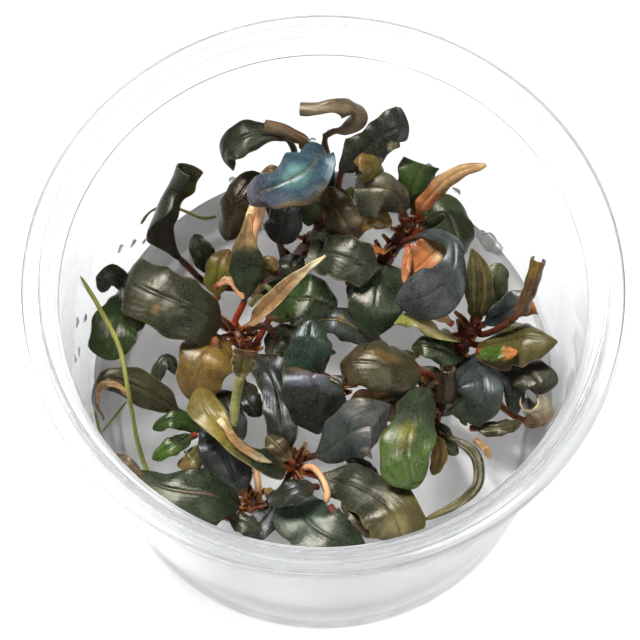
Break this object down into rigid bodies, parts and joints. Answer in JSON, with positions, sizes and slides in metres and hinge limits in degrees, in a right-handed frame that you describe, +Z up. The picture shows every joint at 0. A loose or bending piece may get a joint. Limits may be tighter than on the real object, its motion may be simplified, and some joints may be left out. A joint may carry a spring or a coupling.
{
  "type": "bucephalandra plantlets in a tissue culture cup",
  "caption": "Dark-leaved bucephalandra plantlets rooted on clear culture gel inside a lidless round see-through cup.",
  "frame": {"origin": "centre of the cup's foot, on the surface it stands on", "axes": "+Z up along the cup's axis; the picture looks along +Y and steeply down, with +X to its right"},
  "size_m": [0.1, 0.1, 0.0704],
  "materials": {
    "clear_plastic": "clear moulded polypropylene, slightly milky",
    "culture_gel": "clear, faintly warm agar gel",
    "stem_skin": "red-brown rhizome with papery sheaths",
    "root_skin": "fresh green root",
    "leaf_slate": "waxy living leaf, slate tone, fine pale speckle and a sunken midrib",
    "leaf_blue": "waxy living leaf, blue tone, fine pale speckle and a sunken midrib",
    "leaf_black": "waxy living leaf, black tone, fine pale speckle and a sunken midrib",
    "leaf_green": "waxy living leaf, green tone, fine pale speckle and a sunken midrib",
    "leaf_olive": "waxy living leaf, olive tone, fine pale speckle and a sunken midrib",
    "leaf_gold": "waxy living leaf, gold tone, fine pale speckle and a sunken midrib",
    "leaf_brown": "waxy living leaf, brown tone, fine pale speckle and a sunken midrib",
    "leaf_peach": "waxy living leaf, peach tone, fine pale speckle and a sunken midrib",
    "leaf_cream": "waxy living leaf, cream tone, fine pale speckle and a sunken midrib",
    "leaf_lime": "waxy living leaf, lime tone, fine pale speckle and a sunken midrib"
  },
  "bodies": {
    "root": {"cup": "clear_plastic", "gel": "culture_gel", "root_stalk": "root_skin", "stem_north": "stem_skin", "leaf_north_1": "leaf_slate", "leaf_north_2": "leaf_slate", "leaf_north_3": "leaf_peach", "leaf_north_4": "leaf_brown", "leaf_north_5": "leaf_blue", "leaf_north_6": "leaf_brown", "leaf_north_7": "leaf_black", "leaf_north_8": "leaf_black", "leaf_north_9": "leaf_brown", "stem_north_east": "stem_skin", "leaf_north_east_1": "leaf_brown", "leaf_north_east_2": "leaf_green", "leaf_north_east_3": "leaf_peach", "leaf_north_east_4": "leaf_green", "leaf_north_east_5": "leaf_blue", "leaf_north_east_6": "leaf_slate", "leaf_north_east_7": "leaf_slate", "stem_east": "stem_skin", "leaf_east_1": "leaf_lime", "leaf_east_2": "leaf_olive", "leaf_east_3": "leaf_green", "leaf_east_4": "leaf_blue", "leaf_east_5": "leaf_brown", "leaf_east_6": "leaf_olive", "leaf_east_7": "leaf_green", "leaf_east_8": "leaf_blue", "leaf_east_9": "leaf_cream", "stem_south_east": "stem_skin", "leaf_south_east_1": "leaf_brown", "leaf_south_east_2": "leaf_lime", "leaf_south_east_3": "leaf_green", "leaf_south_east_4": "leaf_brown", "leaf_south_east_5": "leaf_olive", "stem_centre": "stem_skin", "leaf_centre_1": "leaf_blue", "leaf_centre_2": "leaf_blue", "stem_south": "stem_skin", "leaf_south_1": "leaf_slate", "leaf_south_2": "leaf_olive", "leaf_south_3": "leaf_slate", "leaf_south_4": "leaf_gold", "leaf_south_5": "leaf_black", "stem_south_west": "stem_skin", "leaf_south_west_1": "leaf_slate", "leaf_south_west_2": "leaf_blue", "stem_middle_west": "stem_skin", "leaf_middle_west_1": "leaf_brown", "leaf_middle_west_2": "leaf_cream", "stem_west": "stem_skin", "leaf_west_1": "leaf_gold", "leaf_west_2": "leaf_slate", "leaf_west_3": "leaf_green", "leaf_west_4": "leaf_green", "leaf_west_5": "leaf_peach", "leaf_west_6": "leaf_black", "leaf_west_7": "leaf_green"}
  },
  "joints": []
}
